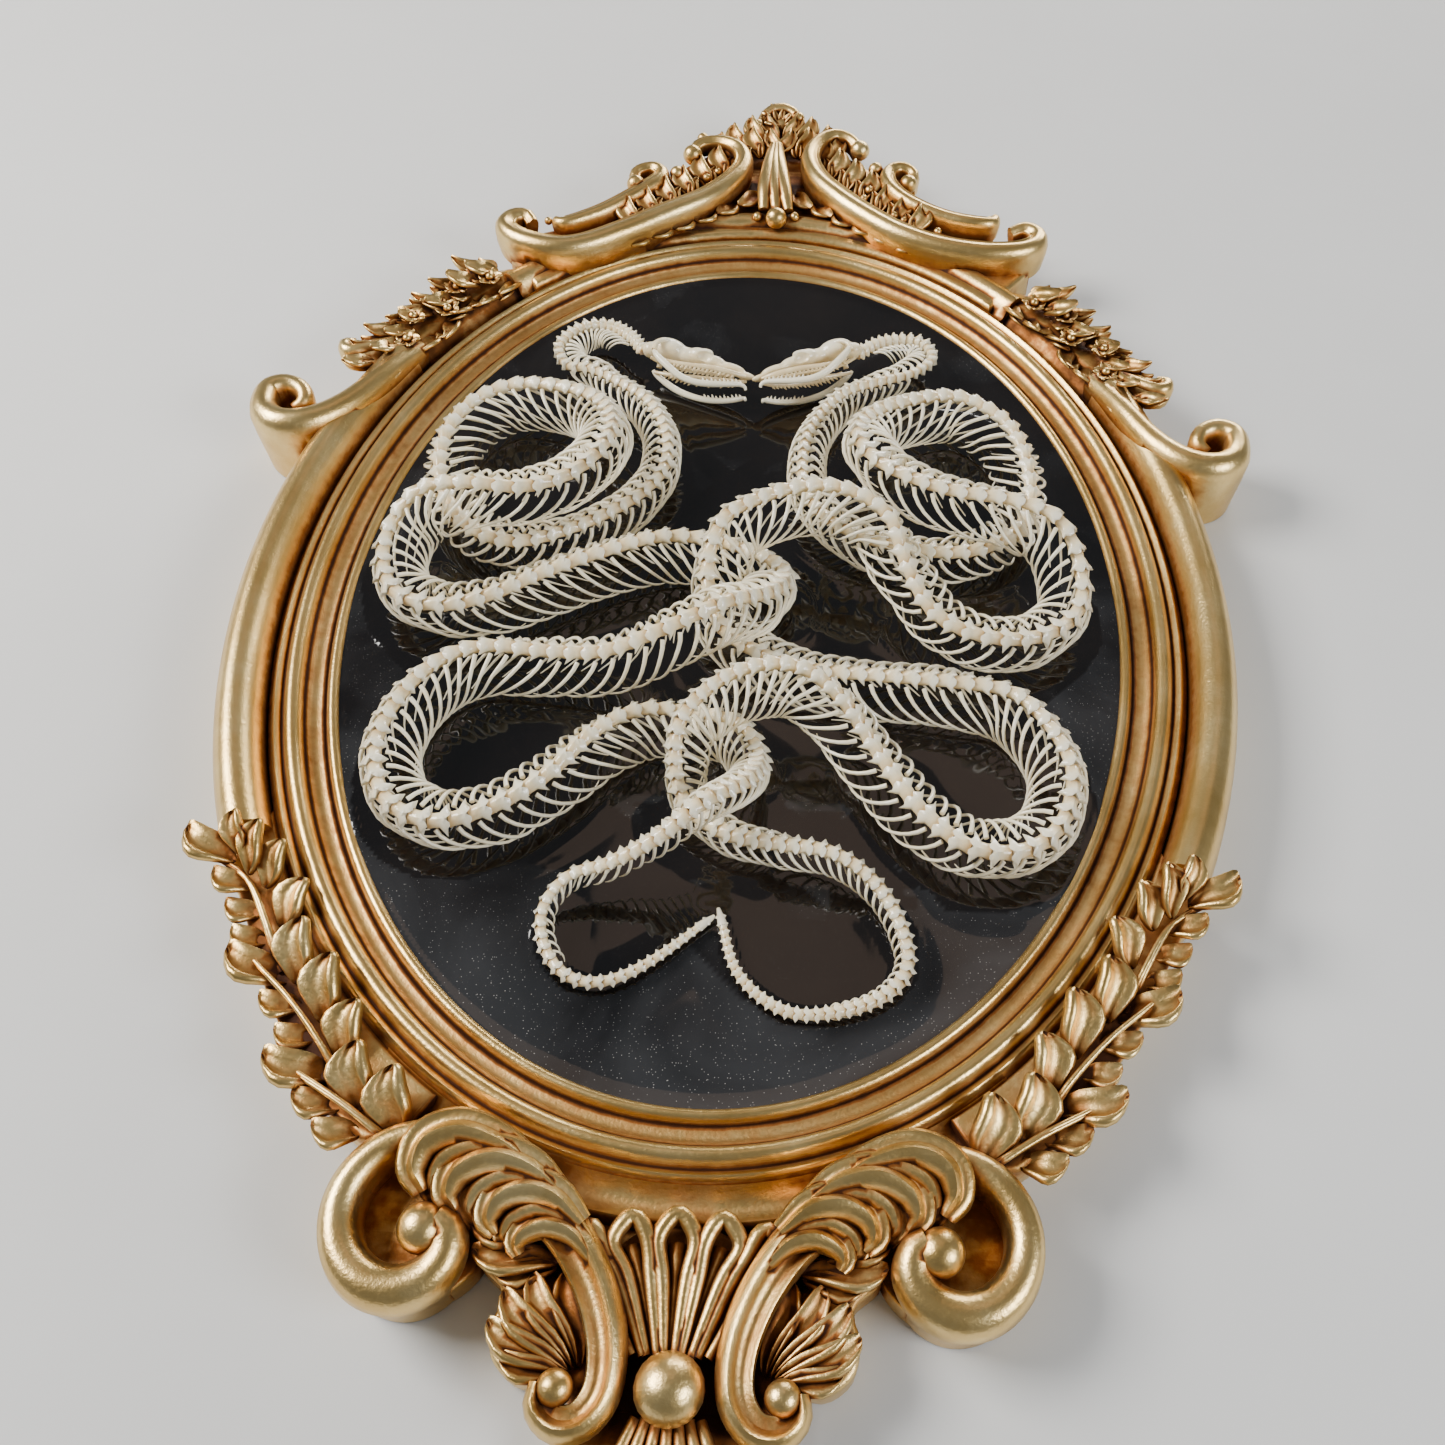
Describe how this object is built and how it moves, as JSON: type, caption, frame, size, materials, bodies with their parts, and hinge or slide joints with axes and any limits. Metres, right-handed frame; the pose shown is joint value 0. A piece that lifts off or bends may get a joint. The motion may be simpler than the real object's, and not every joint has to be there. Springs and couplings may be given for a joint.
{
  "type": "framed snake skeletons",
  "caption": "Entwined snake skeletons, nose to nose, set on a glossy black resin panel inside an ornate oval gilt frame that lies on its flat back.",
  "frame": {"origin": "centre of the oval opening, on the flat back that the frame lies on", "axes": "+X to the right of the picture, +Y towards the crown at the top of the frame, +Z out of the picture"},
  "size_m": [0.22, 0.3593, 0.0313],
  "materials": {
    "gilt": "antique champagne gilding over cast resin, brown wax in the hollows",
    "resin": "poured glossy black resin with a fine sparkle",
    "bone": "cleaned ivory bone with a gloss coat"
  },
  "bodies": {
    "root": {"resin_panel": "resin", "moulding_oval": "gilt", "torus_left": "gilt", "torus_right": "gilt", "crown_plate": "gilt", "crown_scroll_left": "gilt", "crown_scroll_right": "gilt", "crown_drop": "gilt", "swag_left": "gilt", "swag_right": "gilt", "side_volute_left": "gilt", "side_volute_right": "gilt", "laurel_left": "gilt", "laurel_right": "gilt", "foot_plate": "gilt", "foot_volute_left": "gilt", "foot_volute_right": "gilt", "acanthus_left": "gilt", "acanthus_right": "gilt", "fan": "gilt", "boss": "gilt", "pendant": "gilt", "skull": "bone", "mandible_upper": "bone", "mandible_lower": "bone", "neck_left": "bone", "neck_right": "bone", "trunk_1_left": "bone", "trunk_1_right": "bone", "trunk_2_left": "bone", "trunk_2_right": "bone", "trunk_3_left": "bone", "trunk_3_right": "bone", "trunk_4_left": "bone", "trunk_4_right": "bone", "trunk_5_left": "bone", "trunk_5_right": "bone", "trunk_6_left": "bone", "trunk_6_right": "bone", "trunk_7_left": "bone", "trunk_7_right": "bone", "tail": "bone", "second_snake": "bone"}
  },
  "joints": []
}
